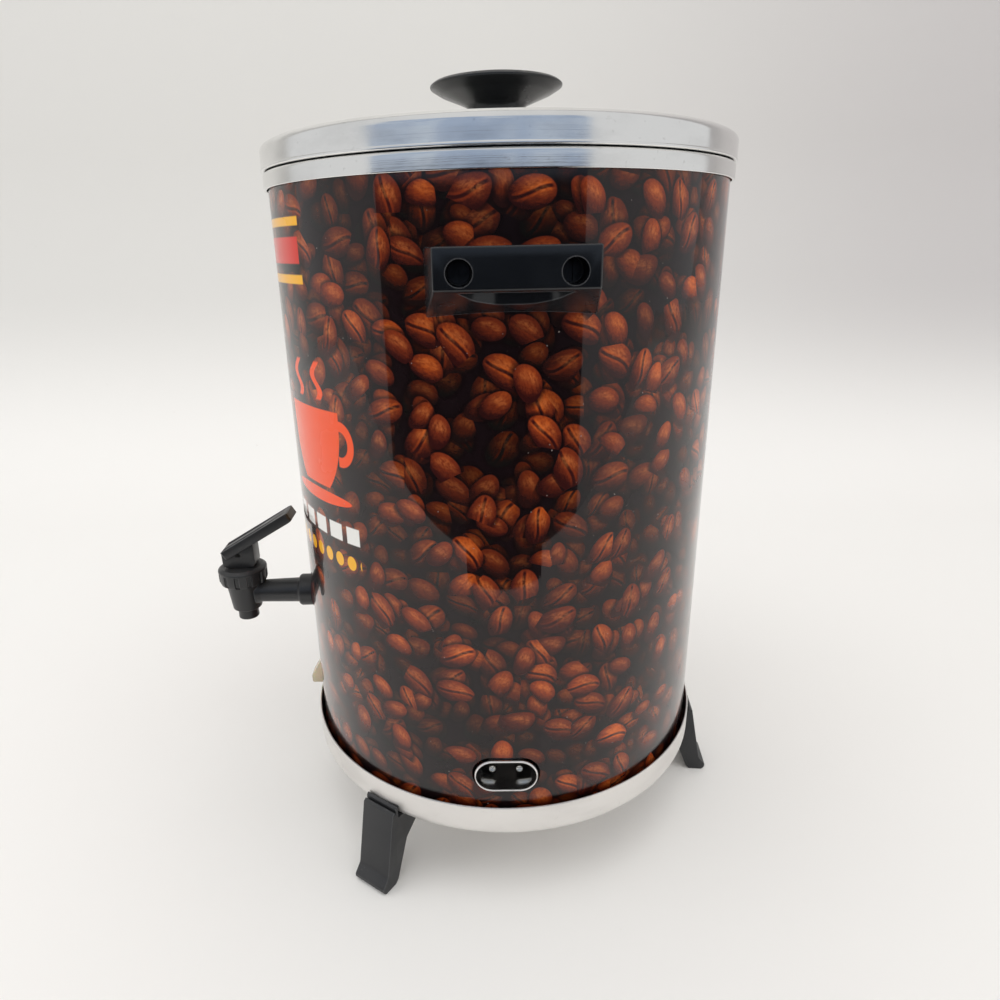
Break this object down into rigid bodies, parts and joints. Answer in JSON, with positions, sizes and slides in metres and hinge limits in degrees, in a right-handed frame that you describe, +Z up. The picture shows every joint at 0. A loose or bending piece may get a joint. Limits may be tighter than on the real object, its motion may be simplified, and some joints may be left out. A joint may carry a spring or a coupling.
{
  "type": "coffee urn",
  "caption": "Cylindrical electric percolator urn with a lift-off lid, side handles, splayed legs and a lever tap.",
  "frame": {"origin": "the point on the floor under the urn's axis", "axes": "+Z up along the urn's axis; -Y towards the tap; +X towards the handle above the power inlet"},
  "size_m": [0.256, 0.2813, 0.3715],
  "materials": {
    "pan_aluminium": "satin pressed",
    "tank_aluminium": "polished rim, drawn inside",
    "printed_jacket": "gloss lithographed print",
    "lid_aluminium": "polished",
    "black_plastic": "moulded phenolic",
    "steel_screws": "plated",
    "steel_plate": "plated sheet",
    "inlet_metal": "polished",
    "insulator": "moulded insulator",
    "pin_metal": "plated pins",
    "lens_plastic": "translucent amber",
    "lamp_glass": "neon lamp",
    "heater_tube": "sheathed element",
    "thermostat_body": "ceramic",
    "tap_plastic": "moulded",
    "silicone": "soft seal",
    "spring_steel": "stainless wire",
    "knob_plastic": "polished phenolic",
    "pump_aluminium": "satin",
    "basket_aluminium": "satin perforated"
  },
  "bodies": {
    "urn": {"base_pan": "pan_aluminium", "tank": "tank_aluminium", "jacket": "printed_jacket", "leg_1": "black_plastic", "leg_2": "black_plastic", "leg_3": "black_plastic", "leg_screws": "steel_screws", "handle_right": "black_plastic", "handle_left": "black_plastic", "handle_screws": "steel_screws", "handle_plates": "steel_plate", "inlet_sleeve": "inlet_metal", "inlet_block": "insulator", "inlet_pins": "pin_metal", "inlet_bracket": "steel_plate", "light_lens": "lens_plastic", "light_lamp": "lamp_glass", "heater": "heater_tube", "thermostat": "thermostat_body", "centre_stud": "steel_screws", "centre_nut": "steel_screws", "tap_body": "tap_plastic", "tap_gasket_outer": "silicone", "tap_gasket_inner": "silicone", "tap_nut": "tap_plastic", "tap_bonnet": "tap_plastic", "tap_spring": "spring_steel"},
    "stem": {"tap_stem": "tap_plastic", "tap_cup": "silicone"},
    "lever": {"tap_lever": "tap_plastic", "lever_pin": "steel_screws"},
    "lid": {"lid": "lid_aluminium", "knob": "knob_plastic", "knob_screw": "steel_screws"},
    "spreader": {"spreader": "basket_aluminium"},
    "basket": {"basket": "basket_aluminium"},
    "pump": {"pump_tube": "pump_aluminium", "pump_base": "pump_aluminium"},
    "washer": {"pump_washer": "steel_plate"}
  },
  "joints": [
    {"name": "lid_lift", "type": "slide", "parent": "urn", "child": "lid", "axis": [0, 0, 1], "range_m": [0, 0.45]},
    {"name": "spreader_lift", "type": "slide", "parent": "urn", "child": "spreader", "axis": [0, 0, 1], "range_m": [0, 0.41]},
    {"name": "basket_lift", "type": "slide", "parent": "urn", "child": "basket", "axis": [0, 0, 1], "range_m": [0, 0.365]},
    {"name": "pump_lift", "type": "slide", "parent": "urn", "child": "pump", "axis": [0, 0, 1], "range_m": [0, 0.32]},
    {"name": "washer_play", "type": "slide", "parent": "pump", "child": "washer", "axis": [0, 0, 1], "range_m": [0, 0.002]},
    {"name": "stem_lift", "type": "slide", "parent": "urn", "child": "stem", "axis": [0, 0, 1], "range_m": [0, 0.0024], "deforming": ["tap_spring"]},
    {"name": "lever_tilt", "type": "hinge", "parent": "stem", "child": "lever", "pos_m": [0, -0.146, 0.1413], "axis": [1, 0, 0], "range_deg": [0, 30], "stiffness_Nm_per_rad": 0.012, "springref_deg": -68.75}
  ],
  "couplings": [
    {"joint": "spreader_lift", "follows": "lid_lift", "ratio": 0.9},
    {"joint": "basket_lift", "follows": "lid_lift", "ratio": 0.8},
    {"joint": "pump_lift", "follows": "lid_lift", "ratio": 0.7},
    {"joint": "stem_lift", "follows": "lever_tilt", "m_per_rad": 0.0045}
  ]
}
